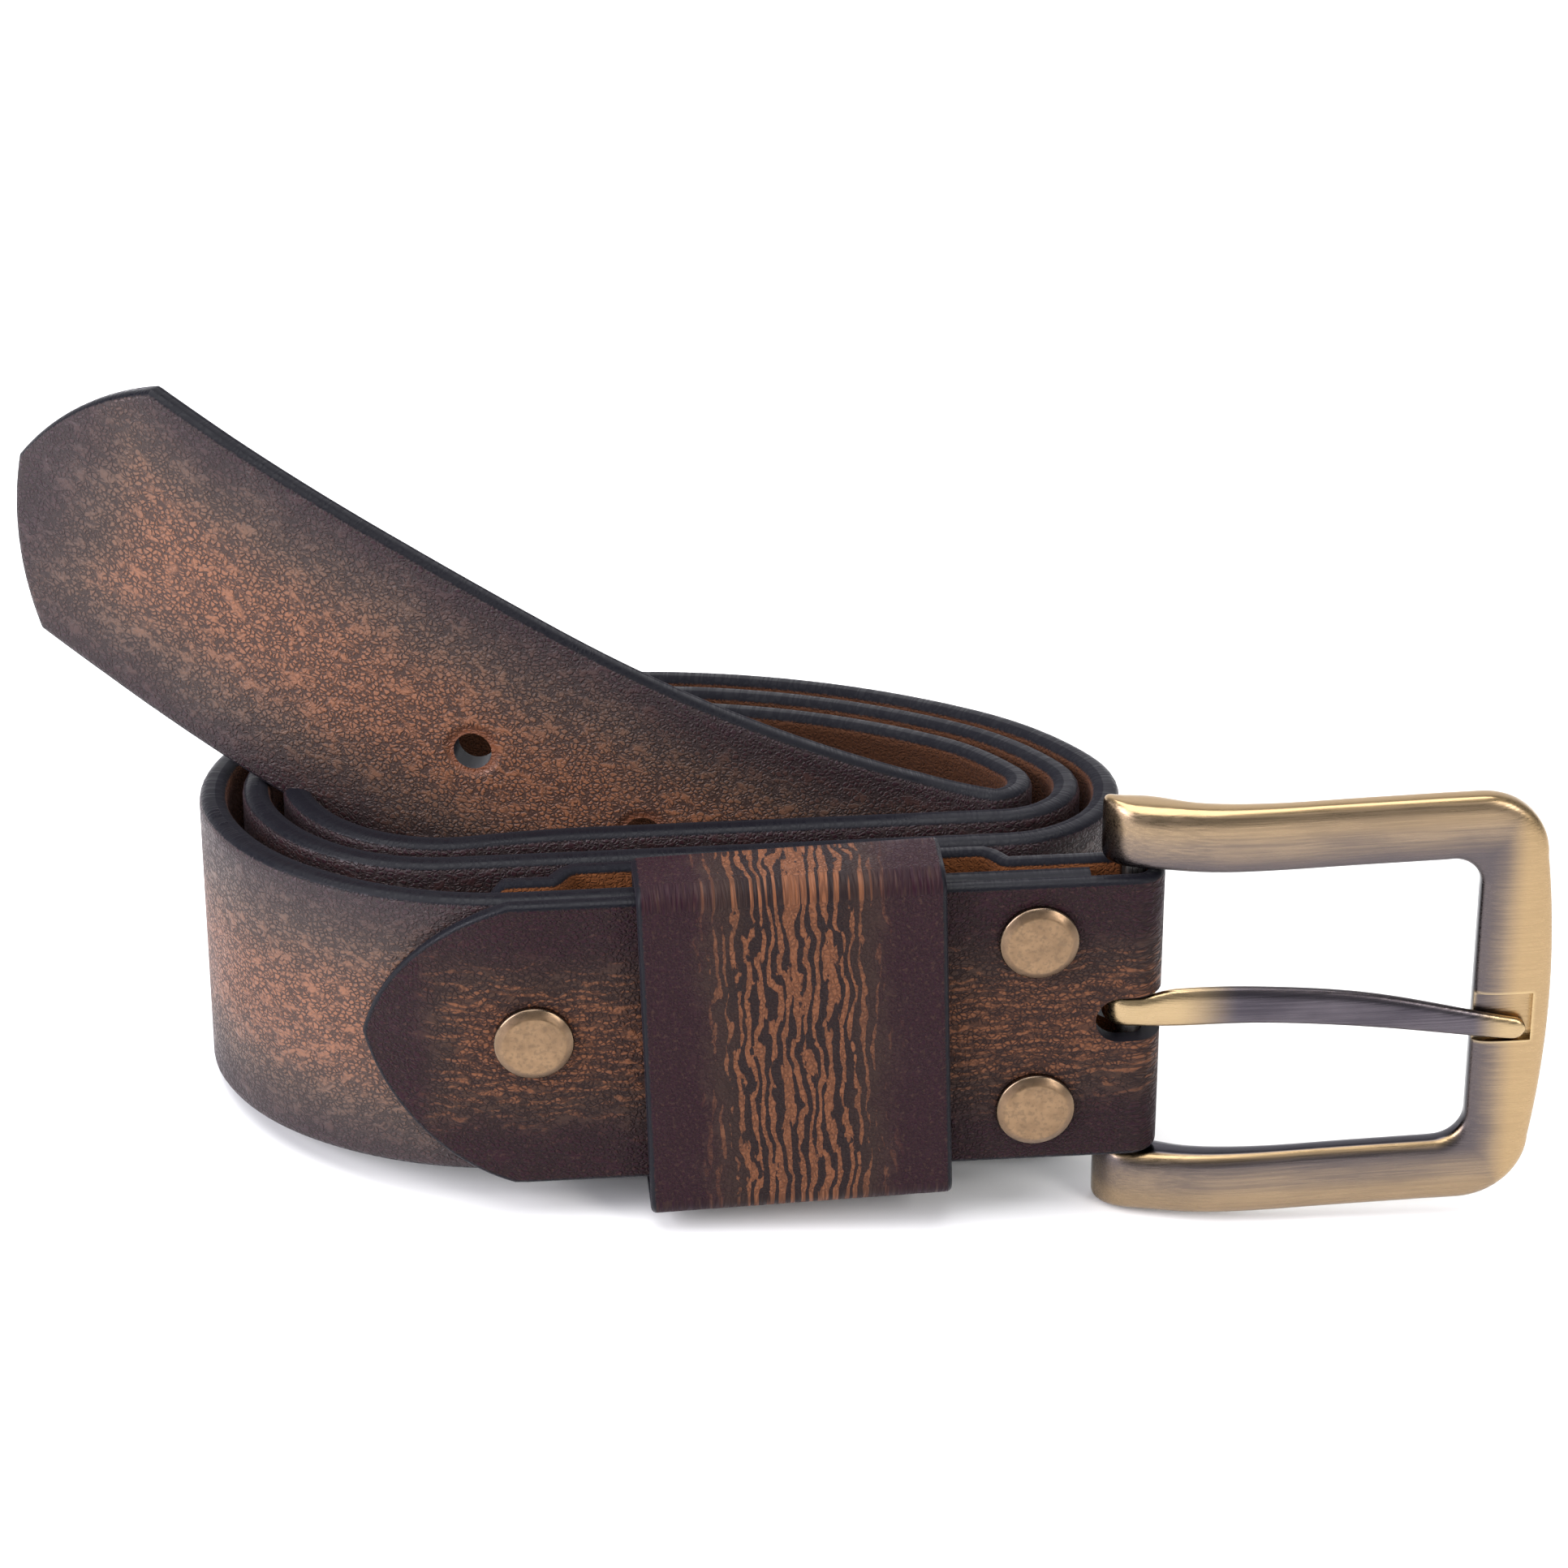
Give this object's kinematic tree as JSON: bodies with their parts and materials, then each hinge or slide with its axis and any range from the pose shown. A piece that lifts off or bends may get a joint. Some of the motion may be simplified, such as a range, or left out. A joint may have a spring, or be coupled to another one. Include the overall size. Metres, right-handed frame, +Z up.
{
  "type": "leather belt",
  "caption": "Coiled leather waist belt with an antique brass prong buckle, riveted buckle tab and a wide sliding keeper.",
  "frame": {"origin": "centre of the coiled belt's bounding box, on the floor it stands on", "axes": "+Z up, +X from the strap's pointed end towards the buckle, +Y from the buckle's front towards the coil"},
  "size_m": [0.1982, 0.072, 0.0912],
  "materials": {
    "strap_leather": "burnished two-tone brown, fine grain",
    "tab_leather": "burnished two-tone brown, streaked",
    "keeper_leather": "burnished dark brown with a striped middle",
    "staple_steel": "plain wire",
    "rivet_brass": "aged, rubbed bright at the rim",
    "buckle_brass": "antique, brushed lengthways",
    "bar_steel": "darkened",
    "prong_brass": "antique, brushed lengthways"
  },
  "bodies": {
    "strap_and_tab": {"strap": "strap_leather", "buckle_tab": "tab_leather", "rivet_cap_left": "rivet_brass", "rivet_cap_upper": "rivet_brass", "rivet_cap_lower": "rivet_brass", "rivet_stud_left": "rivet_brass", "rivet_stud_upper": "rivet_brass", "rivet_stud_lower": "rivet_brass"},
    "keeper": {"keeper_loop": "keeper_leather", "keeper_staples": "staple_steel"},
    "buckle": {"buckle_frame": "buckle_brass", "heel_bar": "bar_steel"},
    "prong": {"prong": "prong_brass"}
  },
  "joints": [
    {"name": "buckle_swing", "type": "hinge", "parent": "strap_and_tab", "child": "buckle", "pos_m": [0.04447, -0.02641, 0.03018], "axis": [-0.0541, 0.0888, 0.9946], "range_deg": [-25, 40]},
    {"name": "prong_lift", "type": "hinge", "parent": "buckle", "child": "prong", "pos_m": [0.04447, -0.02641, 0.03018], "axis": [0.0541, -0.0888, -0.9946], "range_deg": [0, 55]},
    {"name": "keeper_slide", "type": "slide", "parent": "strap_and_tab", "child": "keeper", "axis": [0.9985, 0.0048, 0.0539], "range_m": [-0.007, 0.0049]}
  ]
}
